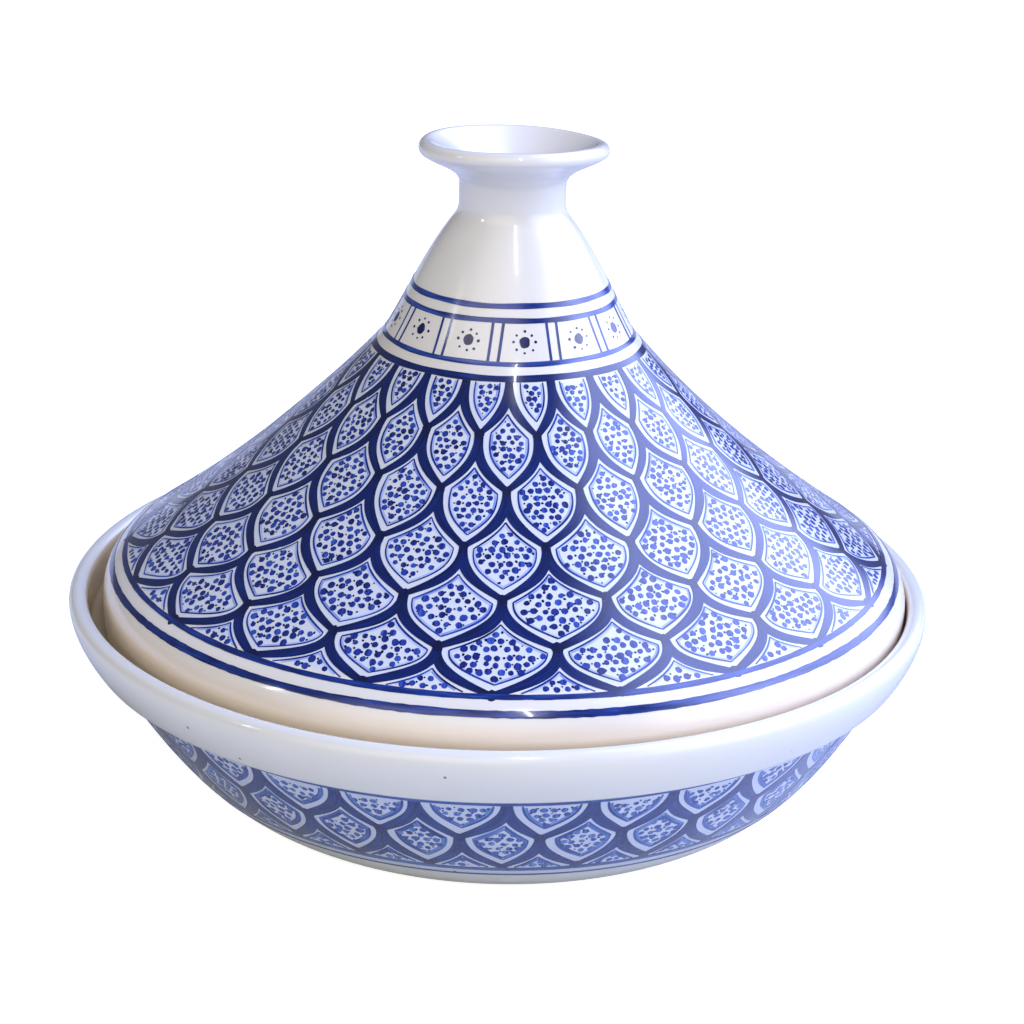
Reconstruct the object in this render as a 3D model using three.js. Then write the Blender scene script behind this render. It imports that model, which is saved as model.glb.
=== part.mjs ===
// Serving tagine in two loose pieces of fired clay: a footed dish with a broad plain rim, and a
// conical lid that stands on a ledge inside the rim and lifts straight off by its funnel neck.
// Millimetres, +Z up. The origin is the centre of the circle that the foot ring stands on.

import * as THREE from 'three';

// ---- Dish ----
const RIM_RADIUS = 160;           // outside of the rim, the widest part of the tagine
const DISH_HEIGHT = 82;           // table to the top of the rim
const RIM_WIDTH = 7;              // wall of the rim, rounded over at the top
const BAND_HEIGHT = 20;           // plain band around the rim, from its lower edge to the top
const BAND_TAPER = 6.5;           // how far the band's lower edge draws in from RIM_RADIUS
const BAND_STEP = 4;              // how far the bowl sets back under the band
const FOOT_RADIUS = 94;           // outside of the foot ring, tucked in under the belly
const FOOT_HEIGHT = 2.5;          // table to the start of the bowl
const FOOT_RING_WIDTH = 9;        // flat ring that touches the table
const FOOT_RECESS = 3;            // hollow inside the foot ring
const FLOOR_THICKNESS = 8;        // clay between the recess and the inside floor
const FLOOR_RADIUS = 84;          // flat middle of the inside floor
const SEAT_DEPTH = 14;            // rim top down to the ledge that carries the lid
const SEAT_WIDTH = 20;            // ledge, from the rim's inside wall inwards

// ---- Lid ----
const LID_PLAY = 3.2;             // side gap between the skirt and the rim's inside wall
const SEAT_CLEARANCE = 0.3;       // lid foot above the ledge
const SKIRT_WALL = 8;             // upright skirt at the lid's lower edge
const SKIRT_HEIGHT = 11.9;        // lid foot to the start of the rounded shoulder
const SHOULDER_RADIUS = 15;       // rounded edge between skirt and cone
const CONE_WALL = 7;              // clay in the cone, across its slope
const CONE_HEIGHT = 96.1;         // start of the shoulder to the collar
const COLLAR_RADIUS = 45.5;       // where the cone turns steeper, under the painted collar
const COLLAR_HEIGHT = 44.5;       // collar to the foot of the neck
const NECK_RADIUS = 19.2;         // outside of the straight neck
const NECK_WALL = 6;              // clay around the chimney hole
const NECK_HEIGHT = 9.5;          // straight part of the neck
const FLARE_HEIGHT = 16.5;        // top of the straight neck to the top of the lip
const MOUTH_RADIUS = 34.6;        // outside of the funnel's lip
const LIP_RADIUS = 2.8;           // rounding of the funnel's lip

// ---- Slopes of the lid's curves, in degrees above the horizontal ----
const CONE_FOOT_SLOPE = 34;
const CONE_TOP_SLOPE = 50;
const SHOULDER_TOP_SLOPE = 50;    // the small convex shoulder that carries the neck
const COLLAR_SLOPE = 60;

// A curve's handles reach this share of the way to its other end.
const HANDLE_SHARE = 1 / 3;
const CURVE_STEPS = 6;
const TURN_STEPS = 48;
const TURN_START = 1;             // degrees from the Y axis to the first corner of the turned outline

const degrees = THREE.MathUtils.degToRad;

// Direction that climbs at a slope while drawing in towards the axis.
function inwardSlope(angle) {
  return new THREE.Vector2(-Math.cos(degrees(angle)), Math.sin(degrees(angle)));
}

// Adds to the outline a smooth curve that leaves along one direction and arrives along another.
function curveTo(outline, leaving, end, arriving) {
  const start = outline.currentPoint;
  const reach = start.distanceTo(end) * HANDLE_SHARE;
  const first = start.clone().addScaledVector(leaving, reach);
  const second = end.clone().addScaledVector(arriving, -reach);
  outline.bezierCurveTo(first.x, first.y, second.x, second.y, end.x, end.y);
}

// Moves a run of outline points into the clay by one wall, square to the run.
function offsetInwards(points, wall) {
  return points.map((point, index) => {
    const before = points[Math.max(index - 1, 0)];
    const after = points[Math.min(index + 1, points.length - 1)];
    const along = after.clone().sub(before).normalize();
    return new THREE.Vector2(point.x - along.y * wall, point.y + along.x * wall);
  });
}

// Height at which a run that draws in towards the axis, or the line of its end, has a given radius.
function heightAt(points, radius) {
  const found = points.findIndex((point, index) => index > 0 && point.x < radius);
  const index = found < 0 ? points.length - 1 : found;
  const before = points[index - 1];
  const share = (radius - before.x) / (points[index].x - before.x);
  return before.y + (points[index].y - before.y) * share;
}

// Turns an outline, radius against height, about the upright axis.
function turned(points) {
  const geometry = new THREE.LatheGeometry(points, TURN_STEPS, degrees(TURN_START));
  geometry.rotateX(Math.PI / 2);
  return geometry;
}

const seatHeight = DISH_HEIGHT - SEAT_DEPTH;
const rimInnerRadius = RIM_RADIUS - RIM_WIDTH;

function dishGeometry() {
  const lipRadius = RIM_WIDTH / 2;
  const bandBottom = DISH_HEIGHT - BAND_HEIGHT;
  const bandFootRadius = RIM_RADIUS - BAND_TAPER;
  const seatInnerRadius = rimInnerRadius - SEAT_WIDTH;
  const floorHeight = FOOT_RECESS + FLOOR_THICKNESS;
  const footInnerRadius = FOOT_RADIUS - FOOT_RING_WIDTH;

  const outline = new THREE.Path();
  outline.moveTo(0, FOOT_RECESS);
  outline.lineTo(footInnerRadius - FOOT_RECESS, FOOT_RECESS);
  outline.lineTo(footInnerRadius, 0);
  outline.lineTo(FOOT_RADIUS, 0);
  outline.lineTo(FOOT_RADIUS, FOOT_HEIGHT);

  // Bowl: swells out of the foot, then climbs almost straight to the band.
  const bowlTop = new THREE.Vector2(bandFootRadius - BAND_STEP, bandBottom);
  const outOfFoot = new THREE.Vector2(1, 0.2).normalize();
  const intoBand = new THREE.Vector2(0.6, 1).normalize();
  curveTo(outline, outOfFoot, bowlTop, intoBand);

  // Band: overhangs the bowl a little and leans outwards, then rounds over the top of the rim.
  outline.lineTo(bandFootRadius, bandBottom);
  const bandTop = DISH_HEIGHT - lipRadius;
  outline.quadraticCurveTo(RIM_RADIUS, bandTop - BAND_HEIGHT / 3, RIM_RADIUS, bandTop);
  outline.absarc(RIM_RADIUS - lipRadius, bandTop, lipRadius, 0, Math.PI, false);

  // Inside: down to the lid's ledge, then down the bowl's inside wall to the floor.
  outline.lineTo(rimInnerRadius, seatHeight);
  outline.lineTo(seatInnerRadius, seatHeight);
  const floorEdge = new THREE.Vector2(FLOOR_RADIUS, floorHeight);
  const downWall = new THREE.Vector2(-0.35, -1).normalize();
  curveTo(outline, downWall, floorEdge, new THREE.Vector2(-1, 0));
  outline.lineTo(0, floorHeight);
  return turned(outline.getPoints(CURVE_STEPS));
}

function lidGeometry() {
  const skirtRadius = rimInnerRadius - LID_PLAY;
  const skirtInnerRadius = skirtRadius - SKIRT_WALL;
  const lidFoot = seatHeight + SEAT_CLEARANCE;
  const shoulderHeight = lidFoot + SKIRT_HEIGHT;
  const collarHeight = shoulderHeight + CONE_HEIGHT;
  const neckFoot = collarHeight + COLLAR_HEIGHT;
  const neckTop = neckFoot + NECK_HEIGHT;
  const lidTop = neckTop + FLARE_HEIGHT;
  const boreRadius = NECK_RADIUS - NECK_WALL;

  // Cone and collar, from the shoulder up to the neck.
  const coneNormal = degrees(90 - CONE_FOOT_SLOPE);
  const shoulderCentre = skirtRadius - SHOULDER_RADIUS;
  const slope = new THREE.Path();
  slope.moveTo(
    shoulderCentre + SHOULDER_RADIUS * Math.cos(coneNormal),
    shoulderHeight + SHOULDER_RADIUS * Math.sin(coneNormal),
  );
  const collar = new THREE.Vector2(COLLAR_RADIUS, collarHeight);
  curveTo(slope, inwardSlope(CONE_FOOT_SLOPE), collar, inwardSlope(CONE_TOP_SLOPE));
  const neckStart = new THREE.Vector2(NECK_RADIUS, neckFoot);
  curveTo(slope, inwardSlope(COLLAR_SLOPE), neckStart, inwardSlope(SHOULDER_TOP_SLOPE));
  const slopeOutside = slope.getPoints(CURVE_STEPS);
  const coneInside = offsetInwards(slopeOutside, CONE_WALL);
  const slopeInside = [
    new THREE.Vector2(skirtInnerRadius, heightAt(coneInside, skirtInnerRadius)),
    ...coneInside.filter((point) => point.x < skirtInnerRadius - 1 && point.x > boreRadius + 1),
    new THREE.Vector2(boreRadius, heightAt(coneInside, boreRadius)),
  ];

  // Skirt, standing on the ledge, and its rounded shoulder.
  const skirt = new THREE.Path();
  skirt.moveTo(skirtInnerRadius, lidFoot);
  skirt.lineTo(skirtRadius, lidFoot);
  skirt.absarc(shoulderCentre, shoulderHeight, SHOULDER_RADIUS, 0, coneNormal, false);

  // Neck and funnel: the flare sweeps out to a rounded lip and back down into the chimney hole.
  const lipCentre = new THREE.Vector2(MOUTH_RADIUS - LIP_RADIUS, lidTop - LIP_RADIUS);
  const lipUnderside = degrees(-60);
  const lipInside = degrees(120);
  const funnel = new THREE.Path();
  funnel.moveTo(NECK_RADIUS, neckFoot);
  funnel.lineTo(NECK_RADIUS, neckTop);
  const flareEnd = new THREE.Vector2(
    lipCentre.x + LIP_RADIUS * Math.cos(lipUnderside),
    lipCentre.y + LIP_RADIUS * Math.sin(lipUnderside),
  );
  curveTo(funnel, new THREE.Vector2(0, 1), flareEnd, new THREE.Vector2(1, 0.7).normalize());
  funnel.absarc(lipCentre.x, lipCentre.y, LIP_RADIUS, lipUnderside, lipInside, false);
  const boreTop = new THREE.Vector2(boreRadius, neckTop);
  curveTo(funnel, new THREE.Vector2(-1, -0.7).normalize(), boreTop, new THREE.Vector2(0, -1));

  const outline = [
    ...skirt.getPoints(CURVE_STEPS / 2),
    ...slopeOutside.slice(1),
    ...funnel.getPoints(CURVE_STEPS / 2).slice(1),
    ...slopeInside.reverse(),
  ];
  outline.push(outline[0].clone());
  return turned(outline);
}

function glazedClay(colour) {
  return new THREE.MeshStandardMaterial({ color: colour, roughness: 0.18, metalness: 0 });
}

function piece(name, geometry, material) {
  const mesh = new THREE.Mesh(geometry, material);
  mesh.name = name;
  return mesh;
}

const group = new THREE.Group();
group.add(piece('dish', dishGeometry(), glazedClay('#e9e9e6')));
group.add(piece('lid', lidGeometry(), glazedClay('#8d99c6')));

export default group;
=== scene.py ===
# Looks of a hand-painted serving tagine: a footed earthenware dish and the conical lid that stands
# in it. Both are thrown clay under a glossy white glaze, painted with cobalt scales.
# Metres in the scene, millimetres for the potter's sizes, +Z up, the viewer on the -Y side.

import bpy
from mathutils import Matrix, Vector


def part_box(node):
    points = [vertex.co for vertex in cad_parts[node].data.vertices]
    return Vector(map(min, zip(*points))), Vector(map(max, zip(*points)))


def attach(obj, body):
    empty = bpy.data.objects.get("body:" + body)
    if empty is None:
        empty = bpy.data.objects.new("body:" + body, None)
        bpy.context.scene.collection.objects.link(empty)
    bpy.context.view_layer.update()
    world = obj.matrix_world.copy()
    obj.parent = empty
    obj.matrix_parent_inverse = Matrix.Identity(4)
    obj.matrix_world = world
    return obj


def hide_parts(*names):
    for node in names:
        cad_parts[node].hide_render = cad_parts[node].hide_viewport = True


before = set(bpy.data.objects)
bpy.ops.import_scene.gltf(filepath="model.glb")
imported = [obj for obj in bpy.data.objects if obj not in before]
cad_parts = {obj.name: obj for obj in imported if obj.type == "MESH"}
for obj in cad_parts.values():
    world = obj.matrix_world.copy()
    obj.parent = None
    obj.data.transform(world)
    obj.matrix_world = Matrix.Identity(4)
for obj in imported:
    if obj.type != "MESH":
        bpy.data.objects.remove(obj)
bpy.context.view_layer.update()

import math

import bpy
import numpy as np
from mathutils import Matrix, Vector


# ---- Viewpoint ----
# The tagine is seen from in front and a little above, by someone standing at the table, with a
# long lens that keeps both rims nearly parallel.
CAMERA_BACK = 0.818
CAMERA_HEIGHT = 0.4041
CAMERA_TILT = math.radians(20.05)
CAMERA_TURN = math.radians(-0.158)
CAMERA_LEAN = math.radians(1.255)
CAMERA_LENS = 81.7

lens = bpy.data.cameras.new("table_view")
lens.lens = CAMERA_LENS
lens.sensor_width = 36
lens.dof.use_dof = False
camera = bpy.data.objects.new("table_view", lens)
bpy.context.scene.collection.objects.link(camera)
camera.matrix_world = (
    Matrix.Translation((0, -CAMERA_BACK, CAMERA_HEIGHT))
    @ Matrix.Rotation(CAMERA_TURN, 4, "Z")
    @ Matrix.Rotation(math.pi / 2 - CAMERA_TILT, 4, "X")
    @ Matrix.Rotation(CAMERA_LEAN, 4, "Z")
)
bpy.context.scene.camera = camera
bpy.context.scene.view_settings.view_transform = "Standard"


# ---- Dish: the clay body ----
# A wide bowl thrown in one piece with its foot ring, its plain rim band and the ledge inside the
# rim. The rim was pulled slightly off centre as it dried, as broad thrown rims are.
MM = 0.001
BODY_DISH = "dish"
_, dish_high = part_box("dish")
RIM_RADIUS = dish_high.x / MM
DISH_HEIGHT = dish_high.z / MM
RIM_WIDTH = 7
BAND_HEIGHT = 20
BAND_TAPER = 6.5
BAND_STEP = 4
FOOT_RADIUS = 94
FOOT_HEIGHT = 2.5
FOOT_RING_WIDTH = 9
FOOT_RECESS = 3
FLOOR_HEIGHT = 11
FLOOR_RADIUS = 84
SEAT_DEPTH = 14
SEAT_WIDTH = 20
RIM_DRIFT = -2.4
RIM_OVAL, RIM_RIPPLE = 0.0012, 0.0007
RIM_WARP, RIM_FLUTTER = 0.35, 0.15
TURN_STEPS = 360


def swept(points, steps):
    """A smooth curve from the first point to the last, drawn towards the ones between."""
    t = np.linspace(0, 1, steps + 1)[:, None]
    degree = len(points) - 1
    return sum(
        math.comb(degree, k) * (1 - t) ** (degree - k) * t**k * np.array(point)
        for k, point in enumerate(points)
    )


def bend(start, leaving, end, arriving, steps=30):
    """A smooth curve that leaves one point and arrives at another along two directions."""
    start, end, leaving, arriving = (np.array(v, float) for v in (start, end, leaving, arriving))
    reach = np.linalg.norm(end - start) / 3
    first = start + leaving / np.linalg.norm(leaving) * reach
    second = end - arriving / np.linalg.norm(arriving) * reach
    return swept((start, first, second, end), steps)


def arc(centre, radius, first, last, steps=12):
    """Part of a circle between two angles in degrees."""
    angle = np.radians(np.linspace(first, last, steps + 1))
    return np.array(centre) + radius * np.column_stack([np.cos(angle), np.sin(angle)])


def eased(before, corner, after, cut, steps=5):
    """A corner worn round: it starts and ends one cut away from its point."""
    before, corner, after = (np.array(v, float) for v in (before, corner, after))
    first = corner + (before - corner) / np.linalg.norm(before - corner) * cut
    last = corner + (after - corner) / np.linalg.norm(after - corner) * cut
    return swept((first, corner, last), steps)


def smooth_step(value, low, high):
    """0 below low, 1 above high, and an even change between them."""
    t = np.clip((value - low) / (high - low), 0, 1)
    return t * t * (3 - 2 * t)


def settle_dish(points):
    """What drying and firing did to the round dish: the rim drifts and waves a little."""
    x, y, z = points.T
    turn = np.arctan2(x, -y)
    rise = smooth_step(z, 0, DISH_HEIGHT)
    swell = 1 + rise * (RIM_OVAL * np.sin(2 * turn + 0.6) + RIM_RIPPLE * np.sin(5 * turn + 2))
    z = z + rise**3 * (RIM_WARP * np.sin(2 * turn + 1.1) + RIM_FLUTTER * np.sin(5 * turn))
    return np.column_stack([x * swell + RIM_DRIFT * rise, y * swell, z])


def turned_piece(name, outline, settle, closed):
    """A thrown body: the outline turned once around the axis, then settled by the fire.
    The outline either closes on itself or starts and ends on the axis."""
    angles = np.linspace(0, 2 * math.pi, TURN_STEPS, endpoint=False)
    ring = outline if closed else outline[1:-1]
    count = len(ring)
    radius, height = ring[:, 0][:, None], ring[:, 1][:, None]
    points = np.stack(
        [
            radius * np.sin(angles),
            -radius * np.cos(angles),
            height * np.ones_like(angles),
        ],
        axis=-1,
    ).reshape(-1, 3)
    index = np.arange(count * TURN_STEPS).reshape(count, TURN_STEPS)
    lower = index if closed else index[:-1]
    upper = np.roll(index, -1, axis=0) if closed else index[1:]
    faces = np.stack(
        [lower, np.roll(lower, -1, axis=1), np.roll(upper, -1, axis=1), upper], axis=-1
    ).reshape(-1, 4).tolist()
    if not closed:
        poles = [[0, 0, outline[0][1]], [0, 0, outline[-1][1]]]
        points = np.vstack([points, poles])
        under, over = count * TURN_STEPS, count * TURN_STEPS + 1
        for j in range(TURN_STEPS):
            k = (j + 1) % TURN_STEPS
            faces.append([index[0, k], index[0, j], under])
            faces.append([index[-1, j], index[-1, k], over])
    mesh = bpy.data.meshes.new(name)
    mesh.from_pydata((settle(points) * MM).tolist(), [], faces)
    mesh.shade_smooth()
    obj = bpy.data.objects.new(name, mesh)
    bpy.context.scene.collection.objects.link(obj)
    return obj, index


def mark_outline(obj, index, name, values):
    """Stores one value for each point of the outline, all the way round the piece."""
    field = np.zeros(len(obj.data.vertices), np.float32)
    field[: index.size] = np.repeat(values, index.shape[1])
    attribute = obj.data.attributes.new(name, "FLOAT", "POINT")
    attribute.data.foreach_set("value", field)


band_bottom = DISH_HEIGHT - BAND_HEIGHT
band_foot = RIM_RADIUS - BAND_TAPER
rim_inner = RIM_RADIUS - RIM_WIDTH
lip = RIM_WIDTH / 2
band_top = DISH_HEIGHT - lip
seat_height = DISH_HEIGHT - SEAT_DEPTH
seat_inner = rim_inner - SEAT_WIDTH
foot_inner = FOOT_RADIUS - FOOT_RING_WIDTH

bowl_top = (band_foot - BAND_STEP, band_bottom)
bowl_run = bend((FOOT_RADIUS, FOOT_HEIGHT), (1, 0.2), bowl_top, (0.6, 1), steps=180)
band_bulge = (RIM_RADIUS, band_top - BAND_HEIGHT / 3)
band_curve = swept([(band_foot, band_bottom), band_bulge, (RIM_RADIUS, band_top)], 14)
dish_outline = np.vstack(
    [
        [(0, FOOT_RECESS), (40, FOOT_RECESS), (70, FOOT_RECESS)],
        eased((40, FOOT_RECESS), (foot_inner - FOOT_RECESS, FOOT_RECESS), (foot_inner, 0), 1.2),
        eased((foot_inner - FOOT_RECESS, FOOT_RECESS), (foot_inner, 0), (FOOT_RADIUS, 0), 0.6),
        [(foot_inner + 3, 0), (FOOT_RADIUS - 3, 0)],
        eased((foot_inner, 0), (FOOT_RADIUS, 0), (FOOT_RADIUS, FOOT_HEIGHT), 0.8),
        bowl_run[4:-3:3],
        eased(bowl_run[-4], bowl_top, (band_foot, band_bottom), 1.0),
        eased(bowl_top, (band_foot, band_bottom), band_curve[2], 1.4),
        band_curve[2:-1],
        arc((RIM_RADIUS - lip, band_top), lip, 0, 180),
        [(rim_inner, band_top - 4), (rim_inner, seat_height + 5)],
        eased((rim_inner, band_top), (rim_inner, seat_height), (seat_inner, seat_height), 2.5),
        [(rim_inner - 8, seat_height), (seat_inner + 5, seat_height)],
        eased(
            (rim_inner, seat_height),
            (seat_inner, seat_height),
            (seat_inner - 2, seat_height - 6),
            cut=2,
        ),
        bend((seat_inner, seat_height), (-0.35, -1), (FLOOR_RADIUS, FLOOR_HEIGHT), (-1, 0), 40)[2:],
        [(60, FLOOR_HEIGHT), (30, FLOOR_HEIGHT), (0, FLOOR_HEIGHT)],
    ]
)
dish, dish_index = turned_piece("dish_clay", dish_outline, settle_dish, closed=False)

# Inside the rim and on the ledge, where the lid's shadow falls, the glaze is painted a darker warm
# tan:
# partly the buff clay under thin glaze, partly painted shade in the gap under the lid. The ground
# takes a little blue between the brush marks, and the foot ring is wiped bare.
RIM_WARMTH_AND_SHADE, DISH_STAIN = 0.85, 0.7
PAINTING_FOOT = 18
ring_outline = dish_outline[1:-1]
inside_rim = (ring_outline[:, 0] < rim_inner + 0.5) & (ring_outline[:, 1] > seat_height - 1)
foot_face = ring_outline[:, 1] < 0.4
# Painted shade: the darker tan marked here covers the inside of the rim and the ledge, under the
# lid.
mark_outline(dish, dish_index, "warmth_and_shade", RIM_WARMTH_AND_SHADE * inside_rim)
painted = (ring_outline[:, 1] < band_bottom - 2) & (ring_outline[:, 1] > PAINTING_FOOT)
painted &= np.arange(len(ring_outline)) < np.argmax(ring_outline[:, 0])
mark_outline(dish, dish_index, "stain", DISH_STAIN * painted)
mark_outline(dish, dish_index, "bare", 1.0 * foot_face)


def shade(code):
    """An sRGB hex colour as the linear colour that a shader takes."""
    values = [int(code[i : i + 2], 16) / 255 for i in (1, 3, 5)]
    return [v / 12.92 if v <= 0.04045 else ((v + 0.055) / 1.055) ** 2.4 for v in values] + [1]


def add(tree, kind, settings=None, links=None):
    """Adds a node. Settings name its sockets, by name or place, or its own options."""
    node = tree.nodes.new(kind)
    for name, value in (settings or {}).items():
        if isinstance(name, str) and name not in node.inputs:
            setattr(node, name, value)
        else:
            node.inputs[name].default_value = value
    for name, source in (links or {}).items():
        tree.links.new(source, node.inputs[name])
    return node


def new_material(name):
    """An empty material and its node tree."""
    material = bpy.data.materials.new(name)
    material.use_nodes = True
    material.node_tree.nodes.clear()
    return material, material.node_tree


# Clear earthenware glaze, dipped and fired glossy. It runs over white ground and painting alike,
# so every glazed finish below ends in this one coat: a mirror with long soft waves in it.
GLAZE_ROUGHNESS = 0.17
GLAZE_WAVE_MM = 22
GLAZE_PEEL_MM = 2.5
THROWING_RING_MM = 7
THROWING_RING_STRETCH = 0.12


def glaze_over(tree, colour):
    """The clear gloss over a colour: soft waves, faint throwing rings and a slight orange peel."""
    where = add(tree, "ShaderNodeTexCoord").outputs["Object"]
    waves = add(
        tree,
        "ShaderNodeTexNoise",
        {"Scale": 1 / (GLAZE_WAVE_MM * MM), "Detail": 1.0},
        {"Vector": where},
    )
    squashed = add(
        tree,
        "ShaderNodeMapping",
        {"Scale": (THROWING_RING_STRETCH, THROWING_RING_STRETCH, 1.0)},
        {"Vector": where},
    )
    rings = add(
        tree,
        "ShaderNodeTexNoise",
        {"Scale": 1 / (THROWING_RING_MM * MM), "Detail": 2.0},
        {"Vector": squashed.outputs["Vector"]},
    )
    peel = add(
        tree,
        "ShaderNodeTexNoise",
        {"Scale": 1 / (GLAZE_PEEL_MM * MM), "Detail": 2.0},
        {"Vector": where},
    )
    wavy = add(
        tree,
        "ShaderNodeBump",
        {"Strength": 0.35, "Distance": 0.8 * MM},
        {"Height": waves.outputs[0]},
    )
    ringed = add(
        tree,
        "ShaderNodeBump",
        {"Strength": 0.25, "Distance": 0.3 * MM},
        {"Height": rings.outputs[0], "Normal": wavy.outputs[0]},
    )
    peeled = add(
        tree,
        "ShaderNodeBump",
        {"Strength": 0.12, "Distance": 0.05 * MM},
        {"Height": peel.outputs[0], "Normal": ringed.outputs[0]},
    )
    gloss = add(
        tree,
        "ShaderNodeMapRange",
        {"To Min": GLAZE_ROUGHNESS * 0.7, "To Max": GLAZE_ROUGHNESS * 1.4},
        {"Value": waves.outputs[0]},
    )
    surface = add(
        tree,
        "ShaderNodeBsdfPrincipled",
        {"IOR": 1.55, "Coat Weight": 0.65, "Coat Roughness": 0.05},
        {
            "Base Color": colour,
            "Roughness": gloss.outputs[0],
            "Normal": peeled.outputs[0],
        },
    )
    add(tree, "ShaderNodeOutputMaterial", {}, {"Surface": surface.outputs[0]})


# White glaze on buff earthenware: cool white where it lies thick, warmer where it runs thin,
# faintly blue where cobalt fumed into it between the brush marks, and a few iron specks. On the
# dish the warm colour is a darker tan that also paints in shade inside the rim, under the lid.
GLAZE_POOL_MM = 45
SPECK_BROWN = "#8a7458"
SPECK_CORE, SPECK_EDGE = 0.02, 0.055
SPECKLESS_SHARE = 0.6


def white_glaze(name, white, thick, warm_and_shade, stain, speck_spacing_mm):
    material, tree = new_material(name)
    where = add(tree, "ShaderNodeTexCoord").outputs["Object"]
    clouds = add(
        tree,
        "ShaderNodeTexNoise",
        {"Scale": 1 / (GLAZE_POOL_MM * MM), "Detail": 3.0},
        {"Vector": where},
    )
    pooled = add(
        tree,
        "ShaderNodeMix",
        {"data_type": "RGBA", 6: shade(white), 7: shade(thick)},
        {0: clouds.outputs[0]},
    )
    # The warm mix is partly painted shade: on the dish it darkens the rim's inside under the lid.
    warmth_and_shade = add(tree, "ShaderNodeAttribute", {"attribute_name": "warmth_and_shade"})
    warmed_and_shaded = add(
        tree,
        "ShaderNodeMix",
        {"data_type": "RGBA", 7: shade(warm_and_shade)},
        {0: warmth_and_shade.outputs["Fac"], 6: pooled.outputs[2]},
    )
    stained = add(
        tree,
        "ShaderNodeMix",
        {"data_type": "RGBA", 7: shade(stain)},
        {
            0: add(tree, "ShaderNodeAttribute", {"attribute_name": "stain"}).outputs["Fac"],
            6: warmed_and_shaded.outputs[2],
        },
    )
    cells = add(
        tree,
        "ShaderNodeTexVoronoi",
        {"Scale": 1 / (speck_spacing_mm * MM)},
        {"Vector": where},
    )
    near = add(
        tree,
        "ShaderNodeMapRange",
        {"From Min": SPECK_CORE, "From Max": SPECK_EDGE, "To Min": 1.0, "To Max": 0.0},
        {"Value": cells.outputs["Distance"]},
    )
    chosen = add(tree, "ShaderNodeSeparateColor", {}, {"Color": cells.outputs["Color"]})
    rare = add(
        tree,
        "ShaderNodeMath",
        {"operation": "GREATER_THAN", 1: SPECKLESS_SHARE},
        {0: chosen.outputs["Red"]},
    )
    specks = add(
        tree,
        "ShaderNodeMath",
        {"operation": "MULTIPLY"},
        {0: near.outputs[0], 1: rare.outputs[0]},
    )
    speckled = add(
        tree,
        "ShaderNodeMix",
        {"data_type": "RGBA", 7: shade(SPECK_BROWN)},
        {0: specks.outputs[0], 6: stained.outputs[2]},
    )
    glaze_over(tree, speckled.outputs[2])
    return material


# Bare fired clay, wiped clean where a piece stands in the kiln: dry, buff and finely gritty.
CLAY_GRIT_MM = 1.2


def bare_clay():
    material, tree = new_material("bare_buff_clay")
    where = add(tree, "ShaderNodeTexCoord").outputs["Object"]
    grit = add(
        tree,
        "ShaderNodeTexNoise",
        {"Scale": 1 / (CLAY_GRIT_MM * MM), "Detail": 4.0},
        {"Vector": where},
    )
    colour = add(
        tree,
        "ShaderNodeMix",
        {"data_type": "RGBA", 6: shade("#c9ab8c"), 7: shade("#b08a66")},
        {0: grit.outputs[0]},
    )
    rough = add(
        tree,
        "ShaderNodeBump",
        {"Strength": 0.5, "Distance": 0.2 * MM},
        {"Height": grit.outputs[0]},
    )
    clay = add(
        tree,
        "ShaderNodeBsdfPrincipled",
        {"Roughness": 0.85, "IOR": 1.45},
        {"Base Color": colour.outputs[2], "Normal": rough.outputs[0]},
    )
    add(tree, "ShaderNodeOutputMaterial", {}, {"Surface": clay.outputs[0]})
    return material


clay = bare_clay()


def bare_where(obj, index, bare):
    """Gives the faces between bare points of the outline the unglazed clay."""
    obj.data.materials.append(clay)
    rings = np.flatnonzero(bare[:-1] & bare[1:])
    turns = index.shape[1]
    slots = np.zeros(len(obj.data.polygons), np.int32)
    for ring in rings:
        slots[ring * turns : (ring + 1) * turns] = 1
    obj.data.polygons.foreach_set("material_index", slots)


dish.data.materials.append(
    white_glaze(
        "white_glaze_dish",
        white="#eff0e8",
        thick="#e4e8e6",
        # Darker tan inside the rim: partly buff clay under thin glaze, partly painted shade under
        # the lid.
        warm_and_shade="#cdb98e",
        stain="#c7d6f6",
        speck_spacing_mm=14,
    )
)
bare_where(dish, dish_index, foot_face)
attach(dish, BODY_DISH)
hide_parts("dish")


# ---- Dish: the painting ----
# Cobalt brushed on the raw white ground under the rim band: a ring, two rows of hanging scales
# filled with dots, and closing lines where the belly turns under. Brushed on by hand, so no two
# marks are quite alike. Each mark is a thin layer of paint whose edge goes down into the glaze.
PAINT_SEAT = -0.05
LIFT_WASH, LIFT_SPOT, LIFT_LINE = 0.05, 0.07, 0.08
LIFT_LEFT, LIFT_RIGHT, LIFT_BLOT, LIFT_RING = 0.10, 0.112, 0.124, 0.136
GRAIN_SEEDS = 977


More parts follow.
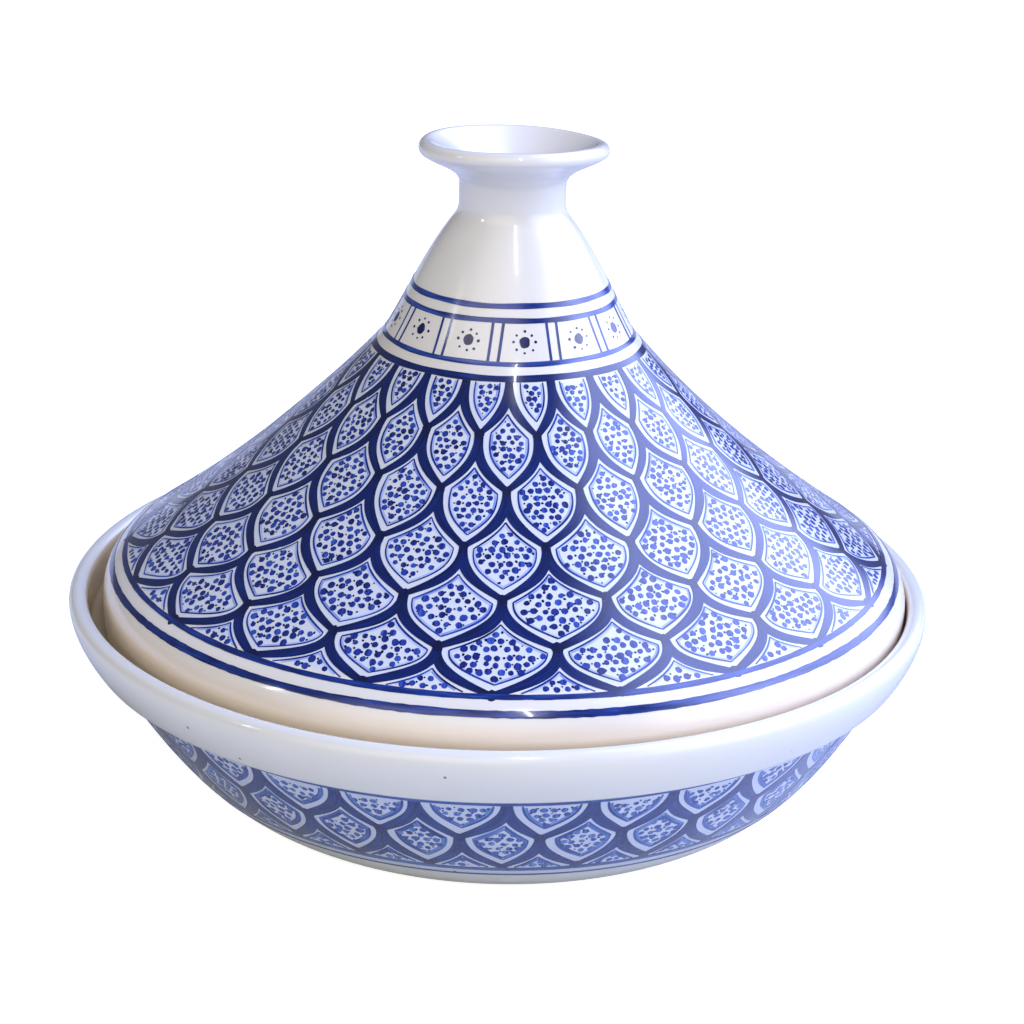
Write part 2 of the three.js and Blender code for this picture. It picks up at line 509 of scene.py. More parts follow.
class Skin:
    """The outside of a thrown piece, found by turn angle and by distance up its outline."""

    def __init__(self, run, settle):
        self.run, self.settle = run, settle
        steps = np.linalg.norm(np.diff(run, axis=0), axis=1)
        self.along = np.concatenate([[0], np.cumsum(steps)])
        self.length = self.along[-1]

    def outline(self, climb):
        return np.interp(climb, self.along, self.run[:, 0]), np.interp(
            climb, self.along, self.run[:, 1]
        )

    def radius(self, climb):
        return self.outline(climb)[0]

    def place(self, turn, climb, lift):
        """Points on the settled surface, raised by the thickness of the paint."""
        step = 0.4
        radius, height = self.outline(climb)
        far, near = self.outline(climb + step), self.outline(climb - step)
        along = np.stack([far[0] - near[0], far[1] - near[1]])
        along = along / np.linalg.norm(along, axis=0)
        radius = radius + along[1] * lift
        height = height - along[0] * lift
        return self.settle(
            np.column_stack([radius * np.sin(turn), -radius * np.cos(turn), height])
        )

    def facing(self, turn, climb):
        """The outward direction of the settled surface."""
        across = self.place(turn + 0.004, climb, 0) - self.place(turn - 0.004, climb, 0)
        up = self.place(turn, climb + 0.5, 0) - self.place(turn, climb - 0.5, 0)
        normal = np.cross(across, up)
        return normal / np.linalg.norm(normal, axis=1)[:, None]


class Painting:
    """Brush marks of one kind on one skin, gathered into a single piece."""

    def __init__(self, skin):
        self.skin = skin
        self.turns, self.climbs, self.lifts = [], [], []
        self.load, self.grain, self.faces = [], [], []
        self.count = 0

    def marks(self, turn, climb, lift, load, grain, faces):
        self.turns.append(turn)
        self.climbs.append(climb)
        self.lifts.append(lift)
        self.load.append(load)
        self.grain.append(grain)
        self.faces.extend([[corner + self.count for corner in face] for face in faces])
        self.count += len(turn)

    def band(self, path, width, lift, load, across=1):
        """A brush stroke along a path of (turn, climb), with its width at each point."""
        turn, climb = path.T
        radius = self.skin.radius(climb)
        along = np.column_stack([np.gradient(turn) * radius, np.gradient(climb)])
        along /= np.linalg.norm(along, axis=1)[:, None]
        sideways = np.column_stack([-along[:, 1] / radius, along[:, 0]])
        share = np.linspace(-0.5, 0.5, across + 1)
        width = np.broadcast_to(width, turn.shape)
        grid = path[:, None, :] + sideways[:, None, :] * (width[:, None] * share)[:, :, None]
        count, lanes = len(turn), across + 1
        top = grid.reshape(-1, 2)
        rails = np.vstack([grid[:, 0], grid[:, -1]])
        points = np.vstack([top, rails])
        lifts = np.concatenate([np.full(len(top), lift), np.full(len(rails), PAINT_SEAT)])
        step = np.hypot(np.diff(turn) * radius[:-1], np.diff(climb))
        travel = np.concatenate([[0], np.cumsum(step)])
        seed = self.count % GRAIN_SEEDS
        grain = np.column_stack(
            [
                np.concatenate([(width[:, None] * share).ravel(), -width / 2, width / 2]),
                np.concatenate([np.repeat(travel, lanes), travel, travel]),
                np.full(len(points), seed * 1.7),
            ]
        )
        load = np.broadcast_to(load, turn.shape)
        loads = np.concatenate([np.repeat(load, lanes), load, load])
        faces = []
        left, right = count * lanes, count * lanes + count
        for i in range(count - 1):
            for j in range(across):
                a = i * lanes + j
                faces.append([a, a + lanes, a + lanes + 1, a + 1])
            a, b = i * lanes, (i + 1) * lanes
            faces.append([left + i, left + i + 1, b, a])
            faces.append([a + across, b + across, right + i + 1, right + i])
            faces.append([left + i + 1, left + i, right + i, right + i + 1])
        faces.append([left] + list(range(lanes)) + [right])
        last = (count - 1) * lanes
        far_end = list(range(last + across, last - 1, -1))
        faces.append([right + count - 1] + far_end + [left + count - 1])
        self.marks(points[:, 0], points[:, 1], lifts, loads, grain, faces)

    def dot(self, turn, climb, radius, lift, load, corners=10, stretch=1.0, lean=0.0):
        """A touch of the brush tip: a small uneven round of paint."""
        angle = np.linspace(0, 2 * math.pi, corners, endpoint=False)
        uneven = radius * (1 + chance.uniform(-0.09, 0.09, corners))
        east, north = uneven * np.cos(angle), uneven * stretch * np.sin(angle)
        east, north = (
            east * math.cos(lean) - north * math.sin(lean),
            east * math.sin(lean) + north * math.cos(lean),
        )
        turns = turn + east / self.skin.radius(climb)
        climbs = climb + north
        faces = [list(range(corners)), list(range(2 * corners - 1, corners - 1, -1))]
        for i in range(corners):
            j = (i + 1) % corners
            faces.append([i, corners + i, corners + j, j])
        seed = self.count % GRAIN_SEEDS
        grain = np.column_stack([east, north, np.full(corners, seed * 1.3)])
        self.marks(
            np.tile(turns, 2),
            np.tile(climbs, 2),
            np.repeat([lift, PAINT_SEAT], corners),
            np.full(2 * corners, load),
            np.tile(grain, (2, 1)),
            faces,
        )

    def piece(self, name, material, body, slot):
        """One object of all the marks, shaded as the glaze over them is."""
        turn, climb = np.concatenate(self.turns), np.concatenate(self.climbs)
        points = self.skin.place(turn, climb, np.concatenate(self.lifts))
        mesh = bpy.data.meshes.new(name)
        mesh.from_pydata((points * MM).tolist(), [], self.faces)
        mesh.shade_smooth()
        load = mesh.attributes.new("load", "FLOAT", "POINT")
        load.data.foreach_set("value", np.concatenate(self.load).astype(np.float32))
        grain = mesh.attributes.new("grain", "FLOAT_VECTOR", "POINT")
        grain.data.foreach_set("vector", np.vstack(self.grain).astype(np.float32).ravel())
        mesh.normals_split_custom_set_from_vertices(self.skin.facing(turn, climb).tolist())
        mesh.materials.append(material)
        obj = bpy.data.objects.new(name, mesh)
        bpy.context.scene.collection.objects.link(obj)
        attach(obj, body)


# Cobalt under the glaze: near black where the brush was loaded or strokes cross, clear blue where
# it ran thin, with the hairs of the brush showing along each stroke. Real hairs are finer: these
# are streaks per millimetre across and along a stroke, coarse enough to show.
BRUSH_STREAKS = (1.1, 0.09, 1.0)


def cobalt(name, thin, full, thick, streak=0.35):
    material, tree = new_material(name)
    load = add(tree, "ShaderNodeAttribute", {"attribute_name": "load"})
    grain = add(tree, "ShaderNodeAttribute", {"attribute_name": "grain"})
    hairs = add(
        tree,
        "ShaderNodeMapping",
        {"Scale": BRUSH_STREAKS},
        {"Vector": grain.outputs["Vector"]},
    )
    streaks = add(
        tree,
        "ShaderNodeTexNoise",
        {"Scale": 1.0, "Detail": 2.0},
        {"Vector": hairs.outputs["Vector"]},
    )
    swing = add(
        tree,
        "ShaderNodeMapRange",
        {"From Min": 0.3, "From Max": 0.7, "To Min": -streak, "To Max": streak},
        {"Value": streaks.outputs[0]},
    )
    depth = add(
        tree,
        "ShaderNodeMath",
        {"operation": "ADD"},
        {0: load.outputs["Fac"], 1: swing.outputs[0]},
    )
    ramp = add(tree, "ShaderNodeValToRGB", {}, {"Fac": depth.outputs[0]})
    ramp.color_ramp.elements[0].color = shade(thin)
    ramp.color_ramp.elements[1].color = shade(thick)
    middle = ramp.color_ramp.elements.new(0.55)
    middle.color = shade(full)
    glaze_over(tree, ramp.outputs[0])
    return material


def ring(painting, climb, width, lift, load, ragged=0.0):
    """A line drawn round the turning piece, its end running into its start at the back."""
    turn = math.pi + np.linspace(0, 2 * math.pi + 0.01, 361)
    wander = 0.12 * np.sin(3 * turn + climb) + 0.08 * np.sin(7 * turn + 2 * climb)
    uneven = 1 + 0.07 * np.sin(11 * turn + climb) + ragged * chance.uniform(-1, 1, len(turn))
    tone = load + 0.12 * np.sin(2 * turn + climb) + 0.08 * np.sin(9 * turn)
    painting.band(
        np.column_stack([turn, climb + wander]), width * uneven, lift, tone, across=3
    )


def scale_stroke(node, tip):
    """One side of a scale: it drops from its node, swells outwards and curls in to the tip."""
    share = swept([(1, 1), (1.02, 0.5), (0.58, 0.3), (0, 0)], 25)
    return np.array(tip) + share * (np.array(node) - np.array(tip))


def inset(skin, path, centre, gap):
    """A path moved to its left by a gap, flattened out around a centre and run on at both ends."""
    climb = path[:, 1]
    flat = np.column_stack([(path[:, 0] - centre[0]) * skin.radius(climb), climb - centre[1]])
    along = np.gradient(flat, axis=0)
    along /= np.linalg.norm(along, axis=1)[:, None]
    gap = np.broadcast_to(gap, climb.shape)[:, None]
    moved = flat + gap * np.column_stack([-along[:, 1], along[:, 0]])
    return np.vstack([moved[0] - along[0] * 5, moved, moved[-1] + along[-1] * 5])


def crossing(first, second):
    """Where two flat paths cross: shares of the way along each, or None."""
    a, b = first[:-1, None], first[1:, None]
    c, d = second[None, :-1], second[None, 1:]
    ab, cd, ac = b - a, d - c, c - a
    bottom = ab[..., 0] * cd[..., 1] - ab[..., 1] * cd[..., 0]
    bottom = np.where(np.abs(bottom) < 1e-9, 1e-9, bottom)
    p = (ac[..., 0] * cd[..., 1] - ac[..., 1] * cd[..., 0]) / bottom
    q = (ac[..., 0] * ab[..., 1] - ac[..., 1] * ab[..., 0]) / bottom
    hits = np.argwhere((p >= 0) & (p <= 1) & (q >= 0) & (q <= 1))
    if not len(hits):
        return None
    i, j = hits[np.argmax(hits[:, 0] - hits[:, 1])]
    return i + p[i, j], j + q[i, j]


def stretch_of(path, first, last, count):
    """The part of a flat path between two shares of its points, evenly redrawn."""
    index = np.arange(len(path))
    where = np.linspace(first, last, count)
    return np.column_stack([np.interp(where, index, side) for side in path.T])


def inner_sides(skin, sides, centre, further):
    """A cell's sides moved inwards by their gaps and cut where they meet, or None if too small."""
    moved = [inset(skin, path, centre, gap + further) for path, gap, _ in sides]
    corners = []
    for k in range(len(moved)):
        corner = crossing(moved[k], moved[(k + 1) % len(moved)])
        if corner is None:
            return None
        corners.append(corner)
    result = []
    for k, path in enumerate(moved):
        first, last = corners[k - 1][1], corners[k][0]
        if last <= first:
            return None
        result.append(stretch_of(path, first, last, 16))
    return result


def on_skin(skin, flat, centre):
    """Flat points around a centre as (turn, climb)."""
    climb = flat[:, 1] + centre[1]
    return np.column_stack([flat[:, 0] / skin.radius(climb) + centre[0], climb])


def inside(points, loop):
    """Which flat points lie within a closed loop."""
    x, y = points[:, 0][:, None], points[:, 1][:, None]
    ax, ay = loop[:, 0], loop[:, 1]
    bx, by = np.roll(ax, -1), np.roll(ay, -1)
    spans = (ay > y) != (by > y)
    rise = np.where(np.abs(by - ay) < 1e-9, 1e-9, by - ay)
    return (spans & (x < (bx - ax) * (y - ay) / rise + ax)).sum(axis=1) % 2 == 1


# Shares of the spacing between dots, and of a dot's size; some specks are left out.
DOT_ROW_STEP, DOT_STRAY = 0.84, 0.16
SPECK_STRAY, SPECK_SIZE, SPECKS_MISSED = 0.2, 0.17, 0.12


def fill_with_dots(skin, spots, specks, loop, centre, size, spacing):
    """Loose rows of round touches, with a smaller dark one between them here and there."""
    low, high = loop.min(axis=0), loop.max(axis=0)
    rows = np.arange(low[1] + chance.uniform(0.2, 0.8), high[1], spacing * DOT_ROW_STEP)
    touches = []
    for number, row in enumerate(rows):
        start = low[0] + (number % 2) * spacing / 2 + chance.uniform(-0.5, 0.5)
        for column in np.arange(start, high[0], spacing):
            touches.append((column, row))
    touches = np.array(touches).reshape(-1, 2)
    touches += chance.uniform(-DOT_STRAY, DOT_STRAY, touches.shape) * spacing
    kept = touches[inside(touches, loop)]
    between = touches + np.array([spacing / 2, spacing * SPECK_STRAY])
    between += chance.uniform(-SPECK_STRAY, SPECK_STRAY, between.shape) * spacing
    for flat in kept:
        turn, climb = on_skin(skin, flat[None], centre)[0]
        spots.dot(
            turn,
            climb,
            size / 2 * chance.uniform(0.8, 1.15),
            LIFT_SPOT,
            chance.uniform(0.25, 0.8),
            corners=12,
            stretch=chance.uniform(0.9, 1.15),
            lean=chance.uniform(0, math.pi),
        )
    for flat in between[inside(between, loop)]:
        if chance.uniform() < SPECKS_MISSED:
            continue
        turn, climb = on_skin(skin, flat[None], centre)[0]
        specks.dot(
            turn,
            climb,
            size * SPECK_SIZE * chance.uniform(0.75, 1.25),
            LIFT_LINE,
            chance.uniform(0.8, 1.0),
            corners=7,
            stretch=chance.uniform(0.9, 1.4),
            lean=chance.uniform(0, math.pi),
        )


# White borders inside a cell, as shares: lower right, upper right, upper left, lower left.
CELL_BORDERS = (1.2, 0.9, 0.6, 1.7)
# How far a node strays from its even place: as a share of a column, and up or down.
NODE_STRAY, NODE_RISE = 0.028, 0.5
# The wash inside a cell's outline, in widths of that outline, and the dots' spacing in dot widths.
WASH_INSET, WASH_WIDTH = 1.4, 1.3
DOT_SPACING = 1.45


def paint_scales(skin, paintings, rows, columns, ribbon, border, line, spot, rings):
    """Rows of hanging scales between two rings. Each row is (climb, shift in columns, ribbon share,
    dot share); the first row's nodes are on the upper ring and the last row's tips on the lower.
    Each ring is (climb, width), the upper one first."""
    ribbons, outlines, washes, spots, specks = paintings
    pitch = 2 * math.pi / columns
    nodes = []
    for climb, shift, _, _ in rows:
        stray = chance.uniform(-NODE_STRAY, NODE_STRAY, columns)
        turn = (np.arange(columns) + shift) * pitch + stray * pitch
        rise = chance.uniform(-NODE_RISE, NODE_RISE, columns)
        nodes.append(np.column_stack([turn, climb + rise]))

    def node_at(row, number):
        """A node, counting on round the piece."""
        turn, climb = nodes[row][number % columns]
        return turn + 2 * math.pi * (number // columns), climb

    def left_of(row, number):
        """The node of the row above that stands to the left of a tip."""
        return number if rows[row][1] > rows[row - 1][1] else number - 1

    def stroke(row, number, right):
        """The left or right stroke of a scale, from its side node to its tip."""
        return scale_stroke(node_at(row - 1, left_of(row, number) + right), node_at(row, number))

    def level(which, first, last):
        """A stretch of one of the two rings between two nodes, as a side of a cell."""
        climb, width = rings[which]
        return np.column_stack([np.linspace(first, last, 24), np.full(24, climb)]), width / 2, False

    for row in range(1, len(rows)):
        share = rows[row][2]
        for number in range(columns):
            for right in (0, 1):
                path = stroke(row, number, right)
                t = np.linspace(0, 1, len(path))
                wave = 1 + 0.05 * np.sin(7 * t + chance.uniform(0, 6))
                swell = 0.78 + 0.34 * np.sin(math.pi * np.clip(t * 0.9 + 0.12, 0, 1)) - 0.1 * t
                width = ribbon * share * wave * swell * chance.uniform(0.93, 1.07)
                load = 0.72 + 0.3 * (np.exp(-t * 7) + np.exp((t - 1) * 8)) - 0.1 * chance.uniform()
                ribbons.band(path, width, (LIFT_LEFT, LIFT_RIGHT)[right], load, across=4)
            turn, climb = node_at(row, number)
            blot = ribbon * share * 0.5 * chance.uniform(0.9, 1.15)
            ribbons.dot(turn, climb, blot, LIFT_BLOT, 1.0, 12, stretch=1.15)

    for row in range(1, len(rows) + 1):
        whole = row < len(rows)
        _, _, ribbon_share, spot_share = rows[row] if whole else rows[-1]
        size = spot * spot_share
        half = ribbon * ribbon_share / 2
        for number in range(columns):
            clear = half + border * np.array(CELL_BORDERS) * chance.uniform(0.75, 1.25, 4)
            sides = []
            if whole:
                left = left_of(row, number)
                turn, climb = node_at(row, number)
                centre = (turn, (climb + node_at(row - 1, left)[1]) / 2)
                sides.append((stroke(row, number, 1)[::-1], clear[0], True))
            else:
                left = number - 1 if rows[-1][1] > rows[-2][1] else number
                first, last = node_at(row - 1, left)[0], node_at(row - 1, left + 1)[0]
                centre = ((first + last) / 2, rows[-1][0] + 5)
                sides.append(level(1, first, last))
            if row > 1:
                sides.append((stroke(row - 1, left + 1, 0)[::-1], clear[1], True))
                sides.append((stroke(row - 1, left, 1), clear[2], True))
            else:
                first, last = node_at(0, left)[0], node_at(0, left + 1)[0]
                sides.append(level(0, last, first))
            if whole:
                sides.append((stroke(row, number, 0), clear[3], True))
            drawn = inner_sides(skin, sides, centre, line / 2)
            if drawn is None:
                continue
            for flat, (_, _, outlined) in zip(drawn, sides):
                if outlined:
                    path = on_skin(skin, flat, centre)
                    t = np.linspace(0, 1, len(path))
                    width = line * (0.8 + 0.3 * np.sin(math.pi * t)) * chance.uniform(0.8, 1.15)
                    outlines.band(path, width, LIFT_LINE, 0.62 + 0.25 * chance.uniform(-1, 1))
            washed = inner_sides(skin, sides, centre, line * WASH_INSET)
            if washed is not None:
                for flat, (_, _, outlined) in zip(washed, sides):
                    if outlined:
                        path = on_skin(skin, flat, centre)
                        load = 0.5 + 0.4 * chance.uniform(-1, 1)
                        washes.band(path, line * WASH_WIDTH, LIFT_WASH, load)
            room = inner_sides(skin, sides, centre, line * 0.8 + size * 0.32)
            if room is not None:
                spacing = size * DOT_SPACING
                fill_with_dots(skin, spots, specks, np.vstack(room), centre, size, spacing)


chance = np.random.default_rng(41)
bowl = Skin(bowl_run, settle_dish)
BOWL_COLUMNS = 32
BOWL_RING_DROP, BOWL_RING_WIDTH = 2.8, 2.6
bowl_ring = bowl.length - BOWL_RING_DROP
bowl_rows = [
    (bowl_ring - 0.8, 0.12, 1.0, 1.0),
    (bowl_ring - 21.0, 0.57, 0.95, 1.0),
    (bowl_ring - 41.0, 0.08, 0.9, 1.0),
]
BOWL_CLOSING_DROP, BOWL_CLOSING_WIDTH = 43.6, 2.4
bowl_closing = bowl_ring - BOWL_CLOSING_DROP
FOOT_LINE_DROP, FOOT_LINE_WIDTH = 5.2, 0.9

cobalt_bowl = cobalt("cobalt_brushwork_dish", "#4672c4", "#1b4490", "#06246a", streak=0.25)
cobalt_bowl_fine = cobalt("cobalt_linework_dish", "#7299da", "#3860b4", "#123080")
ribbons, outlines, washes = Painting(bowl), Painting(bowl), Painting(bowl)
spots, specks, rings = Painting(bowl), Painting(bowl), Painting(bowl)
paint_scales(
    bowl,
    (ribbons, outlines, washes, spots, specks),
    bowl_rows,
    BOWL_COLUMNS,
    ribbon=4.6,
    border=1.3,
    line=1.0,
    spot=2.4,
    rings=((bowl_ring, BOWL_RING_WIDTH), (bowl_closing, BOWL_CLOSING_WIDTH)),
)
ring(rings, bowl_ring, BOWL_RING_WIDTH, LIFT_RING, 0.45)
ring(rings, bowl_closing, BOWL_CLOSING_WIDTH, LIFT_RING, 0.4)
ring(rings, bowl_closing - FOOT_LINE_DROP, FOOT_LINE_WIDTH, LIFT_RING, 0.7)
ribbons.piece("dish_scale_brushwork", cobalt_bowl, BODY_DISH, "dish_glaze")
outlines.piece("dish_scale_outlines", cobalt_bowl_fine, BODY_DISH, "dish_glaze")
washes.piece("dish_scale_washes", cobalt_bowl_fine, BODY_DISH, "dish_glaze")
spots.piece("dish_scale_dots", cobalt_bowl_fine, BODY_DISH, "dish_glaze")
specks.piece("dish_scale_specks", cobalt_bowl, BODY_DISH, "dish_glaze")
rings.piece("dish_painted_rings", cobalt_bowl, BODY_DISH, "dish_glaze")


# ---- Lid: the clay body ----
# A hollow cone thrown upside down in one piece: an upright skirt, a flared cone, a collar and a
# neck that opens into a funnel, which is both the handle and the chimney.
BODY_LID = "lid"
lid_low, lid_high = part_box("lid")
SKIRT_RADIUS = lid_high.x / MM
LID_FOOT = lid_low.z / MM
LID_TOP = lid_high.z / MM
SKIRT_WALL = 8
SKIRT_HEIGHT = 11.9
SHOULDER_RADIUS = 15
CONE_WALL = 7
CONE_HEIGHT = 96.1
COLLAR_RADIUS = 45.5
COLLAR_HEIGHT = 44.5
NECK_RADIUS = 19.2
NECK_WALL = 6
MOUTH_RADIUS = 34.6
LIP_RADIUS = 2.8
NECK_HEIGHT = 9.5
CONE_FOOT_SLOPE, CONE_TOP_SLOPE, COLLAR_SLOPE, SHOULDER_TOP_SLOPE = 34, 50, 60, 50
FLANK_HEIGHT, FLANK_REACH, FLANK_SWELL = 150, 26, 0.022
UNEVEN_TOP = 22


def inward(slope):
    """The direction that climbs at a slope while drawing in to the axis."""
    return -math.cos(math.radians(slope)), math.sin(math.radians(slope))


def settle_lid(points):
    """What the wheel and the fire left uneven: a fuller left flank and a wavy funnel lip."""
    x, y, z = points.T
    turn = np.arctan2(x, -y)
    left = ((1 - np.sin(turn)) / 2) ** 3
    flank = np.exp(-(((z - FLANK_HEIGHT) / FLANK_REACH) ** 2)) * left
    swell = 1 + FLANK_SWELL * flank + 0.0008 * np.sin(3 * turn + z / 17)
    top = smooth_step(z, LID_TOP - UNEVEN_TOP, LID_TOP)
    wave = 1.1 * np.cos(turn) - 0.35 * np.sin(turn) + 0.35 * np.sin(2 * turn + 0.6) - 0.8
    spread = 1 + top * (0.02 * np.cos(2 * turn + 0.5) + 0.008 * np.sin(5 * turn))
    return np.column_stack([x * swell * spread, y * swell * spread, z + top * wave])


shoulder_height = LID_FOOT + SKIRT_HEIGHT
collar_height = shoulder_height + CONE_HEIGHT
neck_foot = collar_height + COLLAR_HEIGHT
neck_top = neck_foot + NECK_HEIGHT
skirt_inner = SKIRT_RADIUS - SKIRT_WALL
bore = NECK_RADIUS - NECK_WALL
shoulder_centre = np.array((SKIRT_RADIUS - SHOULDER_RADIUS, shoulder_height))

shoulder = arc(shoulder_centre, SHOULDER_RADIUS, 0, 90 - CONE_FOOT_SLOPE, 10)
cone = bend(
    shoulder[-1],
    inward(CONE_FOOT_SLOPE),
    (COLLAR_RADIUS, collar_height),
    inward(CONE_TOP_SLOPE),
    steps=260,
)
collar = bend(
    cone[-1],
    inward(COLLAR_SLOPE),
    (NECK_RADIUS, neck_foot),
    inward(SHOULDER_TOP_SLOPE),
    steps=120,
)
painted_run = np.vstack([[(SKIRT_RADIUS, LID_FOOT)], shoulder, cone[1:], collar[1:]])
lip_centre = np.array((MOUTH_RADIUS - LIP_RADIUS, LID_TOP - LIP_RADIUS))
lip_turn = arc(lip_centre, LIP_RADIUS, -60, 120, 16)
flare = bend((NECK_RADIUS, neck_top), (0, 1), lip_turn[0], (1, 0.7), 20)
funnel = bend(lip_turn[-1], (-1, -0.7), (bore, neck_top), (0, -1), 20)
slope_outside = np.vstack([cone[::6], collar[6::6]])
along = np.gradient(slope_outside, axis=0)
along /= np.linalg.norm(along, axis=1)[:, None]
slope_inside = slope_outside + CONE_WALL * np.column_stack([-along[:, 1], along[:, 0]])
slope_inside = slope_inside[
    (slope_inside[:, 0] < skirt_inner - 3) & (slope_inside[:, 0] > bore + 2)
][::-1]
neck_blend = bend(collar[-7], collar[-6] - collar[-7], (NECK_RADIUS, neck_foot + 3), (0, 1), 6)
lid_outline = np.vstack(
    [
        eased((skirt_inner, LID_FOOT + 9), (skirt_inner, LID_FOOT), (SKIRT_RADIUS, LID_FOOT), 1.5),
        [(skirt_inner + 3, LID_FOOT), (SKIRT_RADIUS - 3, LID_FOOT)],
        eased((skirt_inner, LID_FOOT), (SKIRT_RADIUS, LID_FOOT), (SKIRT_RADIUS, LID_FOOT + 4), 1.5),
        [(SKIRT_RADIUS, LID_FOOT + h) for h in (4, 7)],
        shoulder,
        cone[4::4],
        collar[4:-6:4],
        neck_blend,
        flare[1:],
        lip_turn[1:],
        funnel[1:],
        [(bore, neck_foot)],
        slope_inside,
        [(skirt_inner, slope_inside[-1][1] - 4), (skirt_inner, LID_FOOT + 9)],
    ]
)
lid, lid_index = turned_piece("lid_clay", lid_outline, settle_lid, closed=True)

# The skirt is cream where the glaze runs thin, and the face that stands on the ledge is bare.
LID_STAIN = 0.55
skirt_warmth = 1 - smooth_step(lid_outline[:, 1], LID_FOOT + 15, LID_FOOT + 22)
mark_outline(lid, lid_index, "warmth_and_shade", skirt_warmth)
on_cone = (lid_outline[:, 1] > shoulder_height + 15) & (lid_outline[:, 1] < collar_height - 5)
on_cone &= np.arange(len(lid_outline)) < np.argmax(lid_outline[:, 1])
mark_outline(lid, lid_index, "stain", LID_STAIN * on_cone)
lid_stand = lid_outline[:, 1] < LID_FOOT + 0.4
lid.data.materials.append(
    white_glaze(
        "white_glaze_lid",
        white="#f0efe7",
        thick="#e6e6e2",
        warm_and_shade="#f1e6d6",
        stain="#cbdcf9",
        speck_spacing_mm=22,
    )
)
bare_where(lid, lid_index, lid_stand)
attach(lid, BODY_LID)
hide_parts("lid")


# ---- Lid: the painting ----
# The same cobalt, laid on more thickly. Rings close the cone at its foot and under the neck, a
# band of small panels runs round the collar, and six rows of scales cover the slope between.
slope = Skin(painted_run, settle_lid)
LID_COLUMNS = 21
TOP_RING, TOP_RING_WIDTH = 150.3, 2.5
FOOT_RING, FOOT_RING_WIDTH = 29.0, 2.1
SHOULDER_RING, SHOULDER_RING_WIDTH = 22.8, 2.6
COLLAR_RINGS = ((176.2, 2.0), (171.0, 1.9), (155.8, 1.8))
lid_rows = [
    (TOP_RING, 0.0, 0.86, 0.78),
    (128.8, 0.52, 0.86, 0.76),
    (108.0, 0.03, 0.9, 0.82),
    (85.8, 0.5, 0.94, 0.88),
    (65.6, 0.0, 0.97, 0.95),
    (46.8, 0.46, 1.0, 1.0),
    (29.8, -0.1, 1.0, 1.0),
]
cobalt_lid = cobalt("cobalt_brushwork_lid", "#2449a8", "#07246c", "#041242", streak=0.22)
cobalt_fine = cobalt("cobalt_linework_lid", "#3c60c8", "#17308f", "#081446")
cobalt_wash = cobalt("cobalt_wash_lid", "#c9d9fa", "#a9bdf0", "#8098e0")
cobalt_ring = cobalt("cobalt_ring_lines_lid", "#3659b2", "#153688", "#081d5c")

ribbons, outlines, washes = Painting(slope), Painting(slope), Painting(slope)
spots, specks = Painting(slope), Painting(slope)
paint_scales(
    slope,
    (ribbons, outlines, washes, spots, specks),
    lid_rows,
    LID_COLUMNS,
    ribbon=3.55,
    border=0.95,
    line=0.65,
    spot=2.4,
    rings=((TOP_RING, TOP_RING_WIDTH), (FOOT_RING, FOOT_RING_WIDTH)),
)
ribbons.piece("lid_scale_brushwork", cobalt_lid, BODY_LID, "lid_glaze")
outlines.piece("lid_scale_outlines", cobalt_fine, BODY_LID, "lid_glaze")
washes.piece("lid_scale_washes", cobalt_wash, BODY_LID, "lid_glaze")
spots.piece("lid_scale_dots", cobalt_fine, BODY_LID, "lid_glaze")
specks.piece("lid_scale_specks", cobalt_lid, BODY_LID, "lid_glaze")

lid_rings = Painting(slope)
for climb, width in COLLAR_RINGS:
    ring(lid_rings, climb, width, LIFT_RING, 0.5)
ring(lid_rings, TOP_RING, TOP_RING_WIDTH, LIFT_RING, 1.0)
ring(lid_rings, FOOT_RING, FOOT_RING_WIDTH, LIFT_RING, 0.7, ragged=0.08)
ring(lid_rings, SHOULDER_RING, SHOULDER_RING_WIDTH, LIFT_RING, 0.75, ragged=0.1)
lid_rings.piece("lid_painted_rings", cobalt_ring, BODY_LID, "lid_glaze")

PANELS = 13
PANEL_TURN = math.radians(-6.8)
PANEL_LOW, PANEL_HIGH = 156.2, 170.8
PANEL_GAP, PANEL_LINE = 3.6, 1.05
FLOWER_CLIMB, FLOWER_HEART = 163.6, 1.85
PETALS, PETAL_AWAY, PETAL_RADIUS = 8, 3.75, 0.5
panel_lines, panel_spots = Painting(slope), Painting(slope)
for number in range(PANELS):
    turn = PANEL_TURN + 2 * math.pi * number / PANELS + chance.uniform(-0.012, 0.012)
    lean = chance.uniform(-0.012, 0.02)
    for side in (-0.5, 0.5):
        climb = np.linspace(PANEL_LOW, PANEL_HIGH, 12)
        radius = slope.radius(climb)
        path = np.column_stack(
            [turn + side * PANEL_GAP / radius + lean * np.linspace(-1, 1, 12), climb]
        )
        width = PANEL_LINE * chance.uniform(0.8, 1.1)
        panel_lines.band(path, width, LIFT_LINE, 0.6, across=1)
    middle = turn + math.pi / PANELS
    climb = FLOWER_CLIMB + chance.uniform(-0.3, 0.3)
    panel_spots.dot(middle, climb, FLOWER_HEART, LIFT_SPOT, 0.95, corners=14, stretch=1.12)
    for petal in range(PETALS):
        angle = 2 * math.pi * (petal + chance.uniform(-0.12, 0.12)) / PETALS
        away = PETAL_AWAY * chance.uniform(0.92, 1.06)
        panel_spots.dot(
            middle + away * math.cos(angle) / slope.radius(climb),
            climb + away * math.sin(angle),
            PETAL_RADIUS * chance.uniform(0.8, 1.2),
            LIFT_SPOT,
            0.8,
            corners=8,
        )
panel_lines.piece("lid_panel_dividers", cobalt_ring, BODY_LID, "lid_glaze")
panel_spots.piece("lid_panel_flowers", cobalt_fine, BODY_LID, "lid_glaze")


